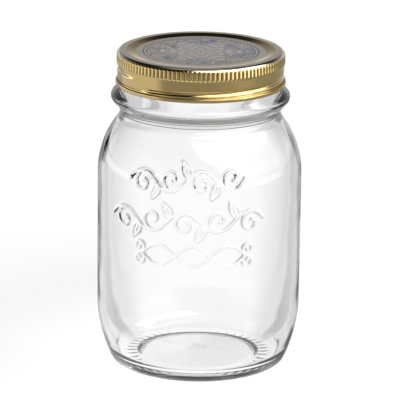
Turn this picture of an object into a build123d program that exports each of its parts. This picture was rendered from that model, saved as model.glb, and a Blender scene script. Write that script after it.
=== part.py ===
from build123d import *
import math
import os

# A half-litre preserving jar with a one-piece screw lid, standing on its base and closed.
# Millimetres, +Z up. The origin is the centre of the contact ring that the jar stands on.
# Three pieces: the glass jar, the lid shell pressed from tinplate, and the sealing ring in the lid.

# ---- driving dimensions -------------------------------------------------------------------
overall_height = 139.0        # foot to the flat top of the closed lid
body_radius = 43.8            # straight part of the glass body, outside
wall = 2.7                    # glass wall in the body and the shoulder

# neck and finish (the moulded rim that takes the lid)
neck_radius = 34.4            # waist between the shoulder and the bead
finish_radius = 33.95         # plain wall under the lid, where the thread stands
bore_radius = 30.9            # mouth of the jar
bead_radius = 39.25           # corner of the bead before rounding
bead_height = 119.35          # height of that corner
rim_height = 137.75           # top of the glass

# screw thread, right-handed, shared by the glass and the lid
thread_pitch = 4.65
thread_crest_radius = 34.95   # crest of the ridge on the glass
lid_groove_start = 220.0      # azimuth where the lid's groove begins, at its upper end
lid_groove_height = 132.05    # height of the groove's centre there
lid_groove_turns = 1.0
ridge_above_groove = 1.4      # the ridge lies this far above the lid's bead when closed
ridge_lead = 60.0             # degrees that the ridge runs on past each end of the lid's bead

# lid shell
sheet = 0.25                  # tinplate thickness
skirt_radius = 35.55          # outside of the plain skirt
knurl_crest_radius = 36.0
knurl_count = 116
knurl_tip_radius = 0.7        # each knurl is a half-round of this radius
knurl_top = 0.65              # below the lid's top plane
knurl_bottom = 5.2
knurl_fade = (1.1, 0.55)      # chamfer over the knurls' upper ends, down and inwards
knurl_end_chamfer = 0.5       # at their lower ends
knurl_clearance = 0.02        # the band's envelope stands this far outside the crests
edge_radius = 1.3             # outside radius between the top and the skirt
groove_depth = 0.65
groove_tool_radius = 0.95     # section of the pressed groove, outside
curl_radius = 36.35           # outside of the rolled edge
curl_height = 1.8
curl_curve = 0.35             # bends of the rolled edge, in the middle of the sheet
curl_end_gap = 0.1            # between the skirt and the sheet's rolled-in end
skirt_depth = 14.4            # top plane to the bottom of the rolled edge
panel_crest_radius = 31.5     # where the top turns down into the recess
panel_crest_curve = 0.6
panel_foot_radius = 27.9      # where the recess becomes flat
panel_foot_curve = 1.0
panel_depth = 0.7

# sealing ring
seal_inner_radius = 31.7
seal_outer_radius = 34.9
seal_thickness = 0.9
seal_corner = 0.54            # rounding of the ring's upper edges
running_gap = 0.05            # between the ring, the lid and the rim

# glass body
shoulder_slope = 37.0         # degrees from the vertical, where the shoulder runs into the neck
shoulder_top = 111.0          # height where that slope would meet the neck
shoulder_curve = 38.1         # radius of the rounded shoulder
neck_curve = 6.0
bead_curve = 2.4
bead_foot_curve = 4.0
bead_top_curve = 1.5
lower_curve = 64.5            # long curve from the straight body to the heel
lower_corner_height = 16.8
heel_corner = (37.6, 2.9)     # radius and height of the heel before rounding
heel_curve = 3.4
floor_corner = (35.6, 4.6)    # inside corner of the floor before rounding
floor_curve = 8.0
floor_height = 6.6            # inside floor at the centre
inside_corner_height = 20.0   # where the inside wall would start to draw in without its curve
inside_curve = 50.0
rim_curve = 1.2

# foot
foot_outer_radius = 31.5
foot_inner_radius = 27.0
push_up_radius = 23.5         # edge of the hollow under the base
push_up_edge = 2.0
push_up = 3.2                 # depth of that hollow at the centre
push_up_curve = 6.0
foot_inner_curve = 2.0
foot_outer_curve = 8.0
foot_notch_count = 44         # short radial notches across the contact ring
foot_notch_radius = 0.5
foot_notch_length = 5.0


def turned(outline):
    """Revolve a closed outline given as ((radius, height), corner radius) from axis to axis."""
    points = [(r, 0, z) for (r, z), _ in outline]
    radii = [radius for _, radius in outline[1:-1]]
    profile = Wire(FilletPolyline(*points, radius=radii).edges())
    closing = Wire(Edge.make_line(points[-1], points[0]))
    return revolve(make_face(Wire.combine([profile, closing])[0]), Axis.Z, 360)


def helix_tube(centre_radius, tube_radius, low_height, low_azimuth, turns):
    """A round tube along a right-hand helix that climbs from its low end, with ball ends."""
    path = Helix(pitch=thread_pitch, height=thread_pitch * turns, radius=centre_radius)
    section = Plane(origin=path @ 0, z_dir=path % 0) * Circle(tube_radius)
    tube = sweep(section, path=path, is_frenet=True)
    for end in (path @ 0, path @ 1):
        tube += Pos(end) * Sphere(tube_radius)
    return Pos(0, 0, low_height) * Rot(0, 0, low_azimuth) * tube


def slope_height_at(radius, through_radius, through_height):
    """Height of the shoulder's slope at a radius, given one point that it passes through."""
    return through_height + (through_radius - radius) / math.tan(math.radians(shoulder_slope))


def glass_body():
    shoulder_corner = slope_height_at(body_radius, neck_radius, shoulder_top)
    inner_radius = body_radius - wall
    inner_shoulder = shoulder_corner - wall * math.tan(math.radians(shoulder_slope / 2))
    inner_neck = slope_height_at(bore_radius, inner_radius, inner_shoulder)
    bead_low = bead_height - (bead_radius - neck_radius)
    bead_high = bead_height + (bead_radius - finish_radius)
    return turned([
        ((0, push_up), None),
        ((push_up_radius, push_up_edge), push_up_curve),
        ((foot_inner_radius, 0), foot_inner_curve),
        ((foot_outer_radius, 0), foot_outer_curve),
        (heel_corner, heel_curve),
        ((body_radius, lower_corner_height), lower_curve),
        ((body_radius, shoulder_corner), shoulder_curve),
        ((neck_radius, shoulder_top), neck_curve),
        ((neck_radius, bead_low), bead_foot_curve),
        ((bead_radius, bead_height), bead_curve),
        ((finish_radius, bead_high), bead_top_curve),
        ((finish_radius, rim_height), rim_curve),
        ((bore_radius, rim_height), rim_curve),
        ((bore_radius, inner_neck), neck_curve + wall),
        ((inner_radius, inner_shoulder), shoulder_curve - wall),
        ((inner_radius, inside_corner_height), inside_curve),
        (floor_corner, floor_curve),
        ((0, floor_height), None),
    ])


def thread_ridge():
    """The ridge on the finish, just above the lid's bead and running on past both its ends."""
    turns = lid_groove_turns + 2 * ridge_lead / 360
    low_azimuth = lid_groove_start - 360 * lid_groove_turns - ridge_lead
    top_height = lid_groove_height + ridge_above_groove + thread_pitch * ridge_lead / 360
    low_height = top_height - thread_pitch * turns
    return helix_tube(finish_radius, thread_crest_radius - finish_radius, low_height, low_azimuth, turns)


def foot_notches():
    middle = (foot_inner_radius + foot_outer_radius) / 2
    notch = Pos(middle, 0, 0) * Rot(0, 90, 0) * Cylinder(foot_notch_radius, foot_notch_length)
    return PolarLocations(0, foot_notch_count, start_angle=180 / foot_notch_count) * notch


def glass_jar():
    return glass_body() + thread_ridge() - foot_notches()


def lid_sheet():
    """The lid's skirt, rolled edge and recessed top as one sheet of even thickness."""
    bottom = overall_height - skirt_depth
    half = sheet / 2
    panel_height = overall_height - panel_depth - half
    curl_middle = curl_radius - half
    curl_top = bottom + curl_height - half
    corners = [
        (0, panel_height),
        (panel_foot_radius, panel_height),
        (panel_crest_radius, overall_height - half),
        (skirt_radius - half, overall_height - half),
        (skirt_radius - half, bottom + half),
        (curl_middle, bottom + half),
        (curl_middle, curl_top),
        (skirt_radius + curl_end_gap, curl_top),
    ]
    radii = [panel_foot_curve, panel_crest_curve, edge_radius - half, curl_curve, curl_curve, curl_curve]
    centre_line = Wire(FilletPolyline(*corners, radius=radii).edges())
    section = make_face(offset(centre_line, amount=half, side=Side.BOTH, kind=Kind.ARC))
    beyond_axis = Rectangle(body_radius, 3 * overall_height, align=(Align.MIN, Align.CENTER))
    return revolve(Plane.XZ * (section & beyond_axis), Axis.Z, 360)


def knurl_band():
    """Half-round vertical knurls around the skirt, faded out at their upper ends."""
    height = knurl_bottom - knurl_top
    rib = Pos(knurl_crest_radius - knurl_tip_radius, 0) * Circle(knurl_tip_radius)
    band = Circle(skirt_radius - sheet / 4) + PolarLocations(0, knurl_count) * rib
    band -= Circle(skirt_radius - sheet / 2)
    envelope = Pos(0, 0, -height / 2) * Cylinder(knurl_crest_radius + knurl_clearance, height)
    envelope = chamfer(envelope.edges().group_by(Axis.Z)[-1], *knurl_fade)
    envelope = chamfer(envelope.edges().group_by(Axis.Z)[0], knurl_end_chamfer)
    return Pos(0, 0, overall_height - knurl_top) * (envelope & extrude(band, -height))


def lid_thread(tube_radius):
    """The helical bead pressed into the skirt, as a tube of the given section."""
    centre_radius = skirt_radius - groove_depth + groove_tool_radius
    low_height = lid_groove_height - thread_pitch * lid_groove_turns
    low_azimuth = lid_groove_start - 360 * lid_groove_turns
    return helix_tube(centre_radius, tube_radius, low_height, low_azimuth, lid_groove_turns)


def lid_shell():
    within_skirt = Pos(0, 0, lid_groove_height) * Cylinder(skirt_radius - sheet / 2, 3 * skirt_depth)
    inner_bead = lid_thread(groove_tool_radius + sheet) & within_skirt
    return lid_sheet() + inner_bead - lid_thread(groove_tool_radius) + knurl_band()


def sealing_ring():
    top = overall_height - sheet - running_gap
    width = seal_outer_radius - seal_inner_radius
    corner = (seal_inner_radius, top - seal_thickness)
    section = Pos(*corner) * Rectangle(width, seal_thickness, align=Align.MIN)
    section = fillet(section.vertices().group_by(Axis.Y)[-1], seal_corner)
    return revolve(Plane.XZ * section, Axis.Z, 360)


os.makedirs("parts", exist_ok=True)
for make in (glass_jar, sealing_ring, lid_shell):
    piece = make()
    piece.label = make.__name__
    print(piece.label, piece.is_valid, round(piece.volume / 1000, 3), "cm3")
    export_step(piece, f"parts/{piece.label}.step")
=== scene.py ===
import math

import bpy
import numpy as np
from mathutils import Matrix, Vector


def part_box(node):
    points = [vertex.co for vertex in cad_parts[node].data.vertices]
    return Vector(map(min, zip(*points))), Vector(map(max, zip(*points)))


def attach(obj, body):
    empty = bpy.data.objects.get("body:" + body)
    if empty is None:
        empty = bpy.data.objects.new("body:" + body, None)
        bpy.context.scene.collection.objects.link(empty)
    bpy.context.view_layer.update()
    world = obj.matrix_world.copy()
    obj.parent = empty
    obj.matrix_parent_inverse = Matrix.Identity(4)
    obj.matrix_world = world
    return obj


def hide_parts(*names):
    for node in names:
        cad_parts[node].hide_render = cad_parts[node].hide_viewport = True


# A closed preserving jar: clear glass with a raised ornament, a gold screw lid with a printed
# top, and the sealing ring inside the lid. The shapes are written in millimetres and degrees
# and scaled by MM on their way into a mesh. The stage is written in metres.

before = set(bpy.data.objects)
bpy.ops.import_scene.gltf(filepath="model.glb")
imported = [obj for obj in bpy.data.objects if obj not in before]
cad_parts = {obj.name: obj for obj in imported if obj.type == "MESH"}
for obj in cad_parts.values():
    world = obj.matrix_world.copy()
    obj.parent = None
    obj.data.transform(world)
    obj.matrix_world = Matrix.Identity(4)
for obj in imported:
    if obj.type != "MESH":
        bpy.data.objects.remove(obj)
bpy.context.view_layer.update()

MM = 0.001
FRONT = -90.0                                  # azimuth of the jar's front

_, jar_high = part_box("glass_jar")
lid_low, lid_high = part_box("lid_shell")
seal_low, seal_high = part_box("sealing_ring")


# ---- mesh tools ---------------------------------------------------------------------------

def unit(vector):
    return vector / np.linalg.norm(vector)


def rounded(corners, turn_step, shortest=0.05, longest=5.0):
    """Points along an outline of ((radius, height), corner radius), its corners as arcs.

    The arcs turn by turn_step degrees at a time, in steps between the shortest and the longest.
    """
    points = [np.array(corners[0][0], float)]
    for before, (corner, radius), after in zip(corners, corners[1:], corners[2:]):
        here = np.array(corner, float)
        back = unit(np.array(before[0], float) - here)
        ahead = unit(np.array(after[0], float) - here)
        half_angle = math.acos(np.clip(back @ ahead, -1, 1)) / 2
        reach = radius / math.tan(half_angle)
        centre = here + unit(back + ahead) * radius / math.sin(half_angle)
        first = here + back * reach - centre
        last = here + ahead * reach - centre
        sweep = math.pi - 2 * half_angle
        step = np.clip(radius * math.radians(turn_step), shortest, longest)
        steps = max(2, math.ceil(radius * sweep / step))
        for k in range(steps + 1):
            share = k / steps
            a = math.sin((1 - share) * sweep) / math.sin(sweep)
            b = math.sin(share * sweep) / math.sin(sweep)
            points.append(centre + a * first + b * last)
    points.append(np.array(corners[-1][0], float))
    return np.array(points)


def subdivided(points, step_at):
    """The same line with stretches no longer than step_at(radius, height)."""
    result = [points[0]]
    for start, end in zip(points, points[1:]):
        middle = (start + end) / 2
        count = max(1, math.ceil(np.linalg.norm(end - start) / step_at(*middle)))
        result += [start + (end - start) * k / count for k in range(1, count + 1)]
    return np.array(result)


def sheet_sides(centre_line, thickness):
    """Both sides of a sheet, left and right of a centre line that starts on the axis."""
    along = np.gradient(centre_line, axis=0)
    along /= np.linalg.norm(along, axis=1)[:, None]
    across = np.column_stack([-along[:, 1], along[:, 0]]) * thickness / 2
    left = centre_line + across
    right = centre_line - across
    left[0, 0] = right[0, 0] = 0
    return left, right


def columns(count, parts, split_from=-180.0, split_to=180.0):
    """Azimuths all round from the front, with the steps inside a range split into parts.

    Also says which of them belong to the even, coarse set.
    """
    step = 360.0 / count
    azimuths, coarse = [], []
    for k in range(count):
        turn = k * step
        from_front = (turn + 180) % 360 - 180
        for part in range(parts if split_from <= from_front <= split_to else 1):
            azimuths.append(FRONT + turn + part * step / parts)
            coarse.append(part == 0)
    return np.array(azimuths), np.array(coarse)


def band_faces(near, far, coarse):
    """Faces between two rows of vertex numbers. A row without the fine columns has -1 in them."""
    used_near, used_far = near >= 0, far >= 0
    if np.array_equal(used_near, used_far):
        a, b = near[used_near], far[used_near]
        return np.stack([a, np.roll(a, -1), np.roll(b, -1), b], -1).tolist()
    faces = []
    stops = np.flatnonzero(coarse).tolist()
    for start, end in zip(stops, stops[1:] + [len(near)]):
        span = np.arange(start, end + 1) % len(near)
        one = near[span][used_near[span]].tolist()
        other = far[span][used_far[span]].tolist()
        faces.append(one + other[::-1])
    return faces


def lathe(name, outline, azimuths, coarse=None, fine_row=None, shape=None, closed=False):
    """A surface of revolution through the outline, reshaped by shape(radius, height, azimuth).

    An open outline starts and ends on the axis, a closed one is a ring round it. Both run
    with the solid on their left. Only the rows that fine_row(radius, height) picks have every
    column. The others have the coarse ones. Returns the object and how many faces each band has.
    """
    rows = outline if closed else outline[1:-1]
    if coarse is None:
        coarse = np.ones(len(azimuths), bool)
    fine = np.array([fine_row is None or bool(fine_row(*row)) for row in rows])
    used = fine[:, None] | coarse[None, :]
    radius = np.repeat(rows[:, :1], len(azimuths), axis=1)
    height = np.repeat(rows[:, 1:], len(azimuths), axis=1)
    if shape:
        radius, height = shape(radius, height, np.repeat(azimuths[None, :], len(rows), axis=0))
    around = np.radians(azimuths)
    verts = np.stack([radius * np.cos(around), radius * np.sin(around), height], -1)[used]
    index = np.full(used.shape, -1)
    index[used] = np.arange(len(verts))
    far_rows = np.roll(index, -1, axis=0) if closed else index[1:]
    bands = [band_faces(near, far, coarse) for near, far in zip(index, far_rows)]
    if not closed:
        first, last = len(verts), len(verts) + 1
        verts = np.vstack([verts, [0, 0, outline[0, 1]], [0, 0, outline[-1, 1]]])
        start, end = index[0][used[0]].tolist(), index[-1][used[-1]].tolist()
        bands.insert(0, [[first, b, a] for a, b in zip(start, start[1:] + start[:1])])
        bands.append([[last, a, b] for a, b in zip(end, end[1:] + end[:1])])
    mesh = bpy.data.meshes.new(name)
    mesh.from_pydata((verts * MM).tolist(), [], [face for faces in bands for face in faces])
    mesh.shade_smooth()
    piece = bpy.data.objects.new(name, mesh)
    bpy.context.scene.collection.objects.link(piece)
    return piece, [len(faces) for faces in bands]


def smooth_step(low, high, value):
    t = np.clip((value - low) / (high - low), 0, 1)
    return t * t * (3 - 2 * t)


# ---- screw thread, shared by the glass and the lid ----------------------------------------

thread_pitch = 4.65
groove_start = 220.0                           # azimuth of the lid's groove at its upper end
groove_height = lid_high.z / MM - 6.95
groove_turns = 1.0
groove_depth = 0.65
groove_half_width = 1.25
groove_end = 0.05                              # share of the groove over which an end fades
ridge_height = 1.0                             # how far the glass thread stands out
ridge_above_groove = 1.4
ridge_lead = 60.0                              # degrees of glass ridge past each end of the groove
ridge_end = 0.04


def helix_offset(height, azimuth, start_azimuth, start_height, turns):
    """Height above a right-hand helix that winds down from its start.

    Also says what share of the helix is passed there.
    """
    first = ((start_azimuth - azimuth) % 360) / 360
    best = np.full(height.shape, 1e3)
    passed = np.zeros(height.shape)
    for turn in range(math.ceil(turns) + 1):
        along = first + turn
        offset = height - (start_height - thread_pitch * along)
        nearer = (np.abs(offset) < np.abs(best)) & (along <= turns)
        best = np.where(nearer, offset, best)
        passed = np.where(nearer, along / turns, passed)
    return best, passed


def faded_ends(passed, share):
    """1 along a helix, falling smoothly to 0 over this share of it at each end."""
    return smooth_step(0, share, passed) * smooth_step(0, share, 1 - passed)


# ---- glass jar ----------------------------------------------------------------------------

body_radius = jar_high.y / MM
rim_height = jar_high.z / MM
rim_curve = 1.2
wall = 2.7
neck_radius = 34.4
neck_curve = 6.0
finish_radius = 33.95                          # plain wall that carries the thread
finish_low = 124.35                            # the thread stays above this height
bore_radius = 30.9
bead_radius = 39.25
bead_height = 119.35
bead_foot_curve, bead_curve, bead_top_curve = 4.0, 2.4, 1.5
shoulder_slope = math.radians(37.0)
shoulder_top = 111.0
shoulder_curve = 38.1
shoulder_low = 84.0                            # the wall draws in above this height
lower_corner_height, lower_curve = 16.8, 64.5
inside_corner_height, inside_curve = 20.0, 50.0
heel_corner, heel_curve = (37.6, 2.9), 3.4
floor_corner, floor_curve = (35.6, 4.6), 8.0
floor_height = 6.6
push_up = 3.2                                  # hollow under the base, at the centre
push_up_edge, push_up_curve = (23.5, 2.0), 6.0
foot_inner, foot_outer = 27.0, 31.5
foot_inner_curve, foot_outer_curve = 2.0, 8.0
notch_count = 44
notch_depth = 0.35
notch_top = 1.5                                # the notches stay below this height

relief_low, relief_high = 53.0, 102.0          # heights between which the front is embossed
relief_left, relief_right = -60.0, 44.0        # and degrees from the front, seen from outside
relief_inner_radius = body_radius * 0.83
line_half_width, line_height = 0.95, 0.58      # of the embossed lines

relief_rows, detail_rows, usual_rows, plain_rows = 0.5, 0.6, 1.5, 4.0
plain_low, plain_high = 32.0, 82.0             # the straight wall, where rows can be far apart
arc_turn, arc_shortest, arc_longest = 4.0, 0.5, 0.9


def shoulder_line(radius, through_radius, through_height):
    """Height of the shoulder's slope at a radius, given one point that it passes through."""
    return through_height + (through_radius - radius) / math.tan(shoulder_slope)


def glass_outline():
    """Corners of the glass from the hollow under the base, up the outside and down the inside."""
    shoulder = shoulder_line(body_radius, neck_radius, shoulder_top)
    inner = body_radius - wall
    inner_shoulder = shoulder - wall * math.tan(shoulder_slope / 2)
    inner_neck = shoulder_line(bore_radius, inner, inner_shoulder)
    return [
        ((0, push_up), None),
        (push_up_edge, push_up_curve),
        ((foot_inner, 0), foot_inner_curve),
        ((foot_outer, 0), foot_outer_curve),
        (heel_corner, heel_curve),
        ((body_radius, lower_corner_height), lower_curve),
        ((body_radius, shoulder), shoulder_curve),
        ((neck_radius, shoulder_top), neck_curve),
        ((neck_radius, bead_height - bead_radius + neck_radius), bead_foot_curve),
        ((bead_radius, bead_height), bead_curve),
        ((finish_radius, bead_height + bead_radius - finish_radius), bead_top_curve),
        ((finish_radius, rim_height), rim_curve),
        ((bore_radius, rim_height), rim_curve),
        ((bore_radius, inner_neck), neck_curve + wall),
        ((inner, inner_shoulder), shoulder_curve - wall),
        ((inner, inside_corner_height), inside_curve),
        (floor_corner, floor_curve),
        ((0, floor_height), None),
    ]


def in_relief(radius, height):
    """Whether a point lies on the outer surface, at the heights that are embossed."""
    drawn_in = np.maximum(0, height - shoulder_low) * 0.3
    outside = (radius > relief_inner_radius) & (radius > body_radius - wall / 2 - drawn_in)
    return outside & (height > relief_low) & (height < relief_high)


def glass_step(radius, height):
    """Longest stretch between two rows of the mesh at this point of the outline."""
    if in_relief(radius, height):
        return relief_rows
    if radius > bore_radius + 1.5 and height > finish_low:
        return detail_rows
    if foot_inner - 2 < radius < foot_outer + 2 and height < notch_top:
        return detail_rows
    if radius < foot_inner - 2 or plain_low < height < plain_high:
        return plain_rows
    return usual_rows


def spiral(centre, start, turns, points=44):
    """A curl from a start point round and in towards its centre."""
    offset = np.array(start, float) - centre
    share = np.linspace(0, 1, points)
    angle = math.atan2(offset[1], offset[0]) + share * turns * 2 * math.pi
    reach = np.linalg.norm(offset) * (1 - 0.8 * share)
    return np.column_stack([centre[0] + reach * np.cos(angle), centre[1] + reach * np.sin(angle)])


def leaf(base, heading, length, width, points=20):
    """Both edges and the midrib of a pointed leaf that grows from base."""
    share = np.linspace(0, 1, points)
    along = np.array([math.cos(heading), math.sin(heading)])
    across = np.array([-along[1], along[0]]) * width / 2
    spine = np.array(base) + share[:, None] * length * along
    swell = np.sin(math.pi * share ** 0.75)[:, None]
    return [spine + swell * across, spine - swell * across, spine[: points * 2 // 3]]


def rolling_vine(left, right, height, rise, half_wave, bow):
    """A wavy stem with a curl in every hollow, and a leaf at every crossing but the first.

    The curls and leaves are placed and sized in shares of a half wave.
    """
    curl_at, curl_reach, curl_turns, curl_drop = 0.55, 0.36, 1.15, 0.25
    leaf_at, leaf_length, leaf_width, leaf_lean = 0.12, 0.55, 0.24, 0.5
    share = np.linspace(0, 1, 140)
    span = right - left
    along = left + span * share
    middle = height + rise * share
    stem = np.column_stack([along, middle + bow * np.sin((along - left) * math.pi / half_wave)])

    def stem_at(place):
        return stem[np.argmin(np.abs(along - place))]

    lines = [stem]
    for k in range(round(span / half_wave)):
        side = 1 if k % 2 == 0 else -1
        across = left + (k + curl_at) * half_wave
        level = height + rise * (across - left) / span - side * curl_drop * bow
        entry = stem_at(across + curl_reach * half_wave)
        lines.append(spiral(np.array([across, level]), entry, side * curl_turns))
        if k:
            foot = stem_at(left + (k + leaf_at) * half_wave)
            heading = side * (math.pi / 2 + leaf_lean)
            lines += leaf(foot, heading, leaf_length * half_wave, leaf_width * half_wave)
    return lines


def braid(left, right, height, half_wave, bow):
    """Two strands that cross as they wave, with a curl at each end of both."""
    along = np.linspace(left, right, 110)
    lines = []
    for side in (-1, 1):
        wave = side * bow * np.sin((along - left) * math.pi / half_wave)
        strand = np.column_stack([along, height + wave])
        curl_height = height + side * 2.6
        lines.append(strand)
        lines.append(spiral(np.array([left - 1.5, curl_height]), strand[0], side * 1.1))
        lines.append(spiral(np.array([right + 1.5, curl_height]), strand[-1], -side * 1.1))
    return lines


def ornament():
    """Raised lines on the jar's front, in millimetres round the body and up it."""
    lines = rolling_vine(-32.0, 20.0, height=91.5, rise=1.5, half_wave=13.0, bow=3.8)
    lines += rolling_vine(-42.0, 29.0, height=74.5, rise=1.0, half_wave=14.2, bow=4.2)
    return lines + braid(-25.0, 20.0, height=60.3, half_wave=15.0, bow=4.4)


def relief_height(radius, height, azimuth):
    """How far the ornament stands out of the glass at each point."""
    turn = (azimuth - FRONT + 180) % 360 - 180
    near = in_relief(radius, height) & (turn > relief_left) & (turn < relief_right)
    at = np.column_stack([np.radians(turn[near]) * body_radius, height[near]])
    closest = np.full(len(at), line_half_width)
    for line in ornament():
        for start, end in zip(line, line[1:]):
            box_low = np.minimum(start, end) - line_half_width
            box_high = np.maximum(start, end) + line_half_width
            close = np.flatnonzero(np.all((at > box_low) & (at < box_high), axis=1))
            along = end - start
            offset = at[close] - start
            share = np.clip(offset @ along / (along @ along + 1e-12), 0, 1)
            distance = np.linalg.norm(offset - share[:, None] * along, axis=1)
            closest[close] = np.minimum(closest[close], distance)
    rise = np.zeros(height.shape)
    rise[near] = line_height * (1 - smooth_step(0, line_half_width, closest))
    return rise


def shape_glass(radius, height, azimuth):
    """The turned glass with its thread, its ornament and the notches under its foot."""
    on_finish = (np.abs(radius - finish_radius) < 0.3) & (height > finish_low)
    ridge_top = groove_height + ridge_above_groove + thread_pitch * ridge_lead / 360
    offset, passed = helix_offset(height, azimuth, groove_start + ridge_lead, ridge_top,
                                  groove_turns + 2 * ridge_lead / 360)
    section = np.sqrt(np.clip(1 - (offset / ridge_height) ** 2, 0, 1))
    ridge = ridge_height * section * faded_ends(passed, ridge_end)
    notch = np.clip(-np.cos(np.radians(azimuth) * notch_count), 0, 1) * notch_depth
    notch *= smooth_step(foot_inner - 1.0, foot_inner + 0.5, radius)
    notch *= (1 - smooth_step(foot_outer - 0.5, foot_outer + 1.0, radius)) * (height < notch_top)
    return radius + ridge * on_finish + relief_height(radius, height, azimuth), height + notch


def make_glass():
    line = subdivided(rounded(glass_outline(), arc_turn, arc_shortest, arc_longest), glass_step)
    azimuths, coarse = columns(4 * notch_count, 4, relief_left, relief_right)
    piece, _ = lathe("glass_jar_shell", line, azimuths, coarse, in_relief, shape_glass)
    piece.data.materials.append(glass_material())
    return piece


# ---- lid ----------------------------------------------------------------------------------

lid_top = lid_high.z / MM
lid_bottom = lid_low.z / MM
sheet = 0.25
skirt_radius = 35.55
skirt_face = skirt_radius - 0.08               # the skirt's outer face lies beyond this radius
edge_curve = 1.3
curl_radius = lid_high.x / MM
curl_height = 1.8
curl_curves = (0.38, 0.40, 0.36)
curl_end_gap = 0.06
panel_crest, panel_foot, panel_depth = 31.5, 27.9, 0.7
panel_crest_curve, panel_foot_curve = 0.6, 1.0

knurl_count = 116
knurl_height = 0.43
knurl_tops = (0.65, 1.5)                       # below the lid's top, where the knurls fade in
knurl_feet = (4.9, 5.35)                       # and where they fade out
waist_depth, waist_below_top, waist_reach = 0.2, 12.35, 0.35

fine_sheet_rows, usual_sheet_rows, flat_rows = 0.25, 0.9, 6.0


def lid_centre_line():
    """Corners of the sheet's middle, from the axis over the recess and down the skirt."""
    half = sheet / 2
    skirt = skirt_radius - half
    panel = lid_top - panel_depth - half
    curl = curl_radius - half
    curl_top = lid_bottom + curl_height - half
    return [
        ((0, panel), None),
        ((panel_foot, panel), panel_foot_curve),
        ((panel_crest, lid_top - half), panel_crest_curve),
        ((skirt, lid_top - half), edge_curve),
        ((skirt, lid_bottom + half), curl_curves[0]),
        ((curl, lid_bottom + half), curl_curves[1]),
        ((curl, curl_top), curl_curves[2]),
        ((skirt_radius + curl_end_gap, curl_top), None),
    ]


def on_knurls(radius, height):
    return radius > skirt_face and 0.5 < lid_top - height < 5.6


def lid_step(radius, height):
    """Longest stretch between two rows of the mesh at this point of the centre line."""
    below_top = lid_top - height
    if radius < panel_foot - 1:
        return flat_rows
    if radius < skirt_radius - edge_curve or below_top < 0.5 or 1.8 <= below_top <= 4.6:
        return usual_sheet_rows
    return fine_sheet_rows


def shape_lid(radius, height, azimuth):
    """The turned lid with its knurls, its pressed groove and the waist above the rolled edge."""
    below_top = lid_top - height
    on_skirt = (radius > skirt_radius - 1.2) & (radius < skirt_radius + 0.04)
    knurl = np.abs(np.cos(np.radians(azimuth) * knurl_count / 2)) ** 0.7
    rise = 0.6 + 0.4 * np.clip((below_top - 1.2) / 3.6, 0, 1)
    band = rise * smooth_step(*knurl_tops, below_top) * (1 - smooth_step(*knurl_feet, below_top))
    band *= radius > skirt_face
    offset, passed = helix_offset(height, azimuth, groove_start, groove_height, groove_turns)
    across = np.clip(np.abs(offset) / groove_half_width, 0, 1)
    groove = groove_depth * (0.5 + 0.5 * np.cos(math.pi * across)) * faded_ends(passed, groove_end)
    waist = waist_depth * np.exp(-((below_top - waist_below_top) / waist_reach) ** 2)
    change = knurl_height * knurl * band - np.maximum(groove, waist)
    return radius + change * on_skirt, height


def make_lid():
    centre_line = subdivided(rounded(lid_centre_line(), 15.0), lid_step)
    outer, inner = sheet_sides(centre_line, sheet)
    outline = np.vstack([inner, outer[::-1]])
    azimuths, coarse = columns(2 * knurl_count, 4)
    piece, band_sizes = lathe("lid_sheet", outline, azimuths, coarse, on_knurls, shape_lid)
    # the faces run down the inside to the rolled edge, then over the edge and up the outside
    inside_bands = np.argmax(inner[:, 1] < lid_bottom + 0.5)
    is_gold = np.repeat(np.arange(len(band_sizes)) >= inside_bands, band_sizes)
    piece.data.materials.append(inside_material())
    piece.data.materials.append(lid_material())
    piece.data.polygons.foreach_set("material_index", is_gold.astype(np.int32))
    return piece


# ---- sealing ring -------------------------------------------------------------------------

seal_inner = 31.7
seal_outer = seal_high.x / MM
seal_dish = 0.08                               # hollow in the middle of the face that seals


def make_seal():
    low, high = seal_low.z / MM, seal_high.z / MM
    middle = (seal_inner + seal_outer) / 2
    corners = [
        ((middle, low + seal_dish), None),
        ((seal_outer, low), 0.3),
        ((seal_outer, high), 0.65),
        ((seal_inner, high), 0.3),
        ((seal_inner, low), 0.3),
        ((middle, low + seal_dish), None),
    ]
    line = subdivided(rounded(corners, 12.0), lambda radius, height: 0.5)
    piece, _ = lathe("seal_ring_cast", line[:-1], columns(240, 1)[0], closed=True)
    piece.data.materials.append(seal_material())
    return piece


# ---- shader nodes -------------------------------------------------------------------------

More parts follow.
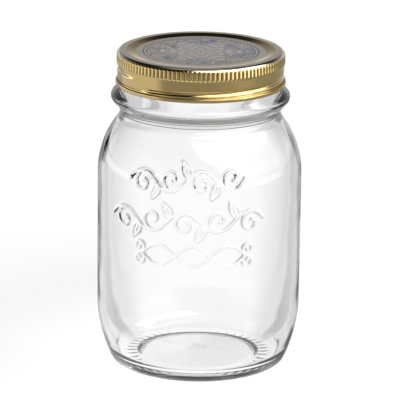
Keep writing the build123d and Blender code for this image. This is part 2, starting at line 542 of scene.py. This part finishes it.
class Nodes:
    """Short names for adding and joining shader nodes in one material or world."""

    def __init__(self, owner):
        owner.use_nodes = True
        self.owner = owner
        self.tree = owner.node_tree

    def add(self, kind, settings=(), **inputs):
        node = self.tree.nodes.new("ShaderNode" + kind)
        for key, value in dict(settings).items():
            setattr(node, key, value)
        self.fill(node, inputs)
        return node

    def fill(self, node, inputs):
        for key, value in inputs.items():
            self.set(node.inputs[key.replace("_", " ")], value)

    def set(self, socket, value):
        if isinstance(value, bpy.types.NodeSocket):
            self.tree.links.new(value, socket)
        else:
            socket.default_value = value

    def surface(self, **values):
        self.fill(self.tree.nodes["Principled BSDF"], values)

    def glow(self, radiance):
        """Make the material shine with this radiance and nothing else."""
        light = self.add("Emission", Color=(1, 1, 1, 1), Strength=radiance)
        self.set(self.tree.nodes["Material Output"].inputs["Surface"], light.outputs[0])

    def math(self, operation, *values):
        node = self.add("Math", {"operation": operation})
        for socket, value in zip(node.inputs, values):
            self.set(socket, value)
        return node.outputs[0]

    def times(self, first, second):
        return self.math("MULTIPLY", first, second)

    def inverse(self, share):
        return self.math("SUBTRACT", 1.0, share)

    def mix(self, share, first, second):
        node = self.add("Mix", {"data_type": "RGBA"})
        self.set(node.inputs[0], share)
        self.set(node.inputs[6], first)
        self.set(node.inputs[7], second)
        return node.outputs[2]

    def step(self, value, low, high):
        """0 below low, 1 above high, smooth between them."""
        node = self.add("MapRange", {"interpolation_type": "SMOOTHSTEP"})
        for socket, number in zip(node.inputs, (value, low, high, 0.0, 1.0)):
            self.set(socket, number)
        return node.outputs[0]

    def window(self, value, low, high, blur):
        """1 where the value lies between low and high, with soft ends."""
        above = self.step(value, low - blur, low + blur)
        below = self.inverse(self.step(value, high - blur, high + blur))
        return self.times(above, below)

    def bump(self, height, distance, strength=1.0):
        return self.add("Bump", Height=height, Distance=distance, Strength=strength).outputs[0]

    def noise(self, vector, scale, detail=2.0):
        return self.add("TexNoise", Vector=vector, Scale=scale, Detail=detail).outputs["Fac"]

    def length(self, vector):
        node = self.add("VectorMath", {"operation": "LENGTH"})
        self.set(node.inputs[0], vector)
        return node.outputs["Value"]

    def position(self):
        """Object coordinates in millimetres: the vector, its height, its distance from the axis."""
        scaled = self.add("VectorMath", {"operation": "SCALE"})
        self.set(scaled.inputs[0], self.add("TexCoord").outputs["Object"])
        self.set(scaled.inputs["Scale"], 1 / MM)
        parts = self.add("SeparateXYZ", Vector=scaled.outputs[0])
        flat = self.add("VectorMath", {"operation": "MULTIPLY"})
        self.set(flat.inputs[0], scaled.outputs[0])
        self.set(flat.inputs[1], (1, 1, 0))
        return scaled.outputs[0], parts.outputs["Z"], self.length(flat.outputs[0])


def material_nodes(name):
    return Nodes(bpy.data.materials.new(name))


# ---- materials ----------------------------------------------------------------------------

def glass_material():
    """Clear soda-lime glass: a trace of grey in thick parts, and slow waves in the surface."""
    glass = material_nodes("clear_glass")
    where, _, _ = glass.position()
    glass.surface(Base_Color=(1, 1, 1, 1), Roughness=0.0, IOR=1.51, Transmission_Weight=1.0,
                  Normal=glass.bump(glass.noise(where, 0.05, 1.0), 0.0008, 0.25))
    tint = glass.add("VolumeAbsorption", Color=(0.80, 0.795, 0.80, 1), Density=65.0)
    glass.set(glass.tree.nodes["Material Output"].inputs["Volume"], tint.outputs[0])
    return glass.owner


def printed_disc(lid, where, radius):
    """Colour and cover of the print in the recess, in blue and dark ink on cream.

    A wreath of small round flowers lies about a hatched rosette with six petals, and two
    rings border it.
    """
    cream = (0.56, 0.48, 0.35, 1)
    blue = (0.20, 0.25, 0.38, 1)
    dark = (0.03, 0.04, 0.09, 1)
    petal_count, petal_reach, rosette_radius = 6.0, 3.6, 15.0
    spoke_count = 64.0
    wreath_radius, print_radius = 23.0, 25.2
    border_rings = ((24.6, 0.30), (23.2, 0.14))        # radius and half width

    parts = lid.add("SeparateXYZ", Vector=where)
    angle = lid.math("ARCTAN2", parts.outputs["Y"], parts.outputs["X"])
    petals = lid.math("COSINE", lid.times(angle, petal_count))
    outline = lid.math("MULTIPLY_ADD", petals, petal_reach, rosette_radius)
    inward = lid.math("SUBTRACT", outline, radius)

    spokes = lid.math("SINE", lid.times(angle, spoke_count))
    hatching = lid.math("MULTIPLY_ADD", spokes, 0.25, 0.7)
    scallops = lid.math("MULTIPLY_ADD", radius, 1.3, lid.times(petals, 2.4))
    blocks = lid.step(lid.math("SINE", scallops), -0.45, 0.05)
    rosette = lid.times(lid.step(inward, 0.0, 0.3), lid.times(blocks, hatching))
    colour = lid.mix(rosette, cream, blue)

    outside = lid.inverse(lid.step(inward, -0.9, -0.4))
    wreath = lid.times(outside, lid.math("LESS_THAN", radius, wreath_radius))
    tinted = lid.times(lid.step(lid.noise(where, 0.16), 0.48, 0.54), wreath)
    colour = lid.mix(lid.times(tinted, 0.8), colour, blue)
    flower = lid.add("TexVoronoi", Vector=where, Scale=0.20, Randomness=0.8)
    rings = lid.math("ABSOLUTE", lid.math("SINE", lid.times(flower.outputs["Distance"], 13.0)))
    lines = lid.inverse(lid.step(rings, 0.40, 0.70))
    colour = lid.mix(lid.times(lines, wreath), colour, dark)

    contour = lid.inverse(lid.step(lid.math("ABSOLUTE", inward), 0.2, 0.45))
    colour = lid.mix(contour, colour, dark)
    for ring, half_width in border_rings:
        edge = lid.math("ABSOLUTE", lid.math("SUBTRACT", radius, ring))
        border = lid.inverse(lid.step(edge, half_width, half_width + 0.25))
        colour = lid.mix(border, colour, dark)
    return colour, lid.inverse(lid.step(radius, print_radius - 0.2, print_radius + 0.2))


def lid_material():
    """Tinplate under gold lacquer; on top a greyer coat with a printed disc in the recess. Painted
    shade darkens the valleys between the knurls to brown.
    """
    gold = (0.60, 0.45, 0.19, 1)
    grey_gold = (0.62, 0.56, 0.43, 1)
    brown_gold = (0.46, 0.31, 0.07, 1)
    # dark brown painted shade for the valleys between the knurls
    knurl_shade_brown = (0.20, 0.12, 0.03, 1)
    lid = material_nodes("gold_lacquer")
    where, height, radius = lid.position()
    cloud = lid.noise(where, 0.12, 3.0)
    on_top = lid.step(height, lid_top - 1.3, lid_top - 0.8)
    slope = lid.window(radius, panel_foot - 0.2, panel_crest + 0.2, 0.4)
    body = lid.mix(on_top, gold, lid.mix(slope, grey_gold, brown_gold))
    body = lid.mix(lid.times(cloud, 0.2), body, brown_gold)
    # painted shade: the valleys between the knurls, below their crests, are darkened towards dark
    # brown
    knurled = lid.window(height, lid_top - 4.9, lid_top - 1.3, 0.3)
    crest = lid.step(radius, skirt_radius + 0.08, skirt_radius + 0.33)
    knurl_shade = lid.times(knurled, lid.inverse(crest))
    body = lid.mix(lid.times(knurl_shade, 0.8), body, knurl_shade_brown)
    ink, cover = printed_disc(lid, where, radius)
    cover = lid.times(cover, on_top)
    lid.surface(Base_Color=lid.mix(cover, body, ink),
                Metallic=lid.math("MULTIPLY_ADD", cover, -0.45, 1.0),
                Roughness=lid.math("MULTIPLY_ADD", cloud, 0.08, 0.10),
                Coat_Weight=0.3, Coat_Roughness=0.08,
                Normal=lid.bump(lid.noise(where, 4.0), 0.00001, 0.3))
    return lid.owner


def inside_material():
    """The lid's inner face: pale grey food-safe lacquer."""
    inside = material_nodes("inner_lacquer")
    where, _, _ = inside.position()
    cloud = inside.noise(where, 0.2, 3.0)
    tone = inside.mix(cloud, (0.50, 0.49, 0.47, 1), (0.42, 0.41, 0.40, 1))
    inside.surface(Base_Color=tone, Metallic=0.2,
                   Roughness=inside.math("MULTIPLY_ADD", cloud, 0.15, 0.3))
    return inside.owner


def seal_material():
    """Soft off-white compound, faintly mottled."""
    seal = material_nodes("sealing_compound")
    where, _, _ = seal.position()
    mottle = seal.noise(where, 0.8, 3.0)
    seal.surface(Base_Color=seal.mix(mottle, (0.82, 0.78, 0.68, 1), (0.88, 0.85, 0.77, 1)),
                 Roughness=0.55, Normal=seal.bump(seal.noise(where, 2.0), 0.0001, 0.3))
    return seal.owner


# ---- assembly -----------------------------------------------------------------------------

def install(piece, body, node):
    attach(piece, body)
    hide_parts(node)


glass = make_glass()
glass.visible_shadow = False
glass.visible_diffuse = False
install(glass, "jar", "glass_jar")
install(make_lid(), "lid", "lid_shell")
install(make_seal(), "seal", "sealing_ring")


# ---- stage --------------------------------------------------------------------------------

floor_size = 16.0
floor_drop = 0.0003                            # keeps the floor off the jar's contact ring
ray_kinds = ("camera", "diffuse", "glossy", "transmission", "shadow")


def board(name, material, seen_by):
    """A flat square under the jar that only the named kinds of ray see."""
    half = floor_size / 2
    corners = [(-half, -half, 0), (half, -half, 0), (half, half, 0), (-half, half, 0)]
    mesh = bpy.data.meshes.new(name)
    mesh.from_pydata(corners, [], [(0, 1, 2, 3)])
    mesh.materials.append(material)
    square = bpy.data.objects.new(name, mesh)
    bpy.context.scene.collection.objects.link(square)
    square.matrix_world = Matrix.Translation((0, 0, -floor_drop))
    for kind in ray_kinds:
        setattr(square, "visible_" + kind, kind in seen_by)


def white_floor():
    floor = material_nodes("pale_floor")
    floor.surface(Base_Color=(0.92, 0.92, 0.92, 1), Roughness=1.0, Specular_IOR_Level=0.0,
                  Emission_Color=(1, 1, 1, 1), Emission_Strength=0.2)
    return floor.owner


def bearing_of(nodes, vector):
    """Degrees from the camera's side towards +X, and the vector's separate parts."""
    parts = nodes.add("SeparateXYZ", Vector=vector)
    backwards = nodes.times(parts.outputs["Y"], -1.0)
    turn = nodes.math("ARCTAN2", parts.outputs["X"], backwards)
    return nodes.times(turn, 180 / math.pi), parts


def reflected_floor():
    """What gloss sees below the horizon: grey in front, lit to both sides, paler behind."""
    floor = material_nodes("reflected")
    where = floor.add("TexCoord").outputs["Object"]
    bearing, _ = bearing_of(floor, where)
    distance = floor.length(where)
    at_foot = floor.inverse(floor.step(distance, 0.09, 0.14))
    close_by = floor.inverse(floor.step(distance, 0.20, 0.28))
    far_off = floor.step(distance, 0.7, 1.1)
    patches = [                                # first and last bearing, blur, range, radiance
        (-70, 70, 20, at_foot, 1.2),
        (-30, 20, 14, close_by, 0.3),
        (-135, -56, 8, 1.0, 0.44),
        (-135, -56, 8, far_off, 1.76),
        (22, 102, 8, far_off, 2.2),
        (50, 74, 4, far_off, 6.0),
    ]
    behind = floor.step(floor.math("ABSOLUTE", bearing), 135, 160)
    level = floor.math("MULTIPLY_ADD", behind, 0.1, 0.4)
    for first, last, blur, reach, radiance in patches:
        patch = floor.times(floor.window(bearing, first, last, blur), reach)
        level = floor.math("MULTIPLY_ADD", patch, radiance, level)
    floor.glow(level)
    return floor.owner


def seen_through_floor():
    """What the glass shows behind it: white, greyer to both sides and far away.

    A dark card stands far off on the left. The slope is how far a place lies to the side of a
    strip down the middle, against how far it lies behind the jar.
    """
    strip_half_width = 0.022
    floor = material_nodes("seen_through")
    parts = floor.add("SeparateXYZ", Vector=floor.add("TexCoord").outputs["Object"])
    across, depth = parts.outputs["X"], parts.outputs["Y"]
    beside = floor.math("SUBTRACT", floor.math("ABSOLUTE", across), strip_half_width)
    slope = floor.math("DIVIDE", beside, floor.math("MAXIMUM", depth, 0.0001))
    shade = floor.times(floor.step(slope, 0.03, 0.24), -0.22)
    shade = floor.math("MULTIPLY_ADD", floor.window(slope, 0.33, 0.62, 0.04), -0.35, shade)
    card = floor.times(floor.window(slope, 0.44, 1.4, 0.06), floor.step(depth, 0.35, 0.43))
    card = floor.times(floor.math("LESS_THAN", across, 0.0), card)
    shade = floor.math("MULTIPLY_ADD", card, -0.55, shade)
    level = floor.math("MULTIPLY_ADD", floor.step(depth, 0.0, 0.04), shade, 1.07)
    level = floor.math("MULTIPLY_ADD", floor.step(depth, 0.5, 0.8), -0.25, level)
    floor.glow(level)
    return floor.owner


def make_world():
    """A studio as a sky: grey rings with a dark one at mid height, and a large softbox
    over the camera's right shoulder."""
    rings = [                                  # elevation and radiance
        (0, 0.95),
        (8, 0.6),
        (15, 0.36),
        (22, 0.30),
        (28, 0.02),
        (58, 0.02),
        (68, 0.5),
        (90, 0.7),
    ]
    key_radiance, key_spill, front_shade = 5.0, 0.17, -0.6
    world = bpy.data.worlds.new("studio")
    bpy.context.scene.world = world
    sky = Nodes(world)
    bearing, parts = bearing_of(sky, sky.add("TexCoord").outputs["Generated"])
    elevation = sky.times(sky.math("ARCSINE", parts.outputs["Z"]), 180 / math.pi)
    ramp = sky.add("ValToRGB", Fac=sky.math("DIVIDE", elevation, 90.0))
    marks = ramp.color_ramp.elements
    while len(marks) < len(rings):
        marks.new(0.5)
    for mark, (degrees, level) in zip(marks, rings):
        mark.position = degrees / 90
        mark.color = (level, level, level, 1)
    tall = sky.window(elevation, 29, 55, 5)
    tall = sky.math("MULTIPLY_ADD", sky.window(elevation, 3, 29, 5), key_spill, tall)
    slanted = sky.step(sky.math("ADD", bearing, elevation), 34, 50)
    wide = sky.times(slanted, sky.window(bearing, -20, 112, 8))
    front = sky.math("MULTIPLY_ADD", sky.window(bearing, -40, 30, 12), front_shade, 1.0)
    base = sky.times(ramp.outputs["Color"], front)
    level = sky.math("MULTIPLY_ADD", sky.times(tall, wide), key_radiance, base)
    sky.set(sky.tree.nodes["Background"].inputs["Color"], level)


def make_camera():
    distance, elevation, roll = 1.3047, math.radians(16.6), math.radians(0.7)
    orbit_centre = Vector((0, 0, 0.0677))
    aim = Vector((0.00034, 0, 0.0724))
    data = bpy.data.cameras.new("camera")
    data.sensor_width = 36.0
    data.lens = 272.03
    camera = bpy.data.objects.new("camera", data)
    bpy.context.scene.collection.objects.link(camera)
    back = Vector((0, -math.cos(elevation), math.sin(elevation)))
    camera.location = orbit_centre + back * distance
    upright = (aim - camera.location).normalized().to_track_quat("-Z", "Y")
    camera.rotation_mode = "QUATERNION"
    camera.rotation_quaternion = upright @ Matrix.Rotation(roll, 3, "Z").to_quaternion()
    bpy.context.scene.camera = camera


board("floor", white_floor(), ("camera", "diffuse"))
board("floor_reflected", reflected_floor(), ("glossy",))
board("floor_seen_through", seen_through_floor(), ("transmission",))
make_world()
make_camera()
bpy.context.scene.view_settings.view_transform = "Standard"
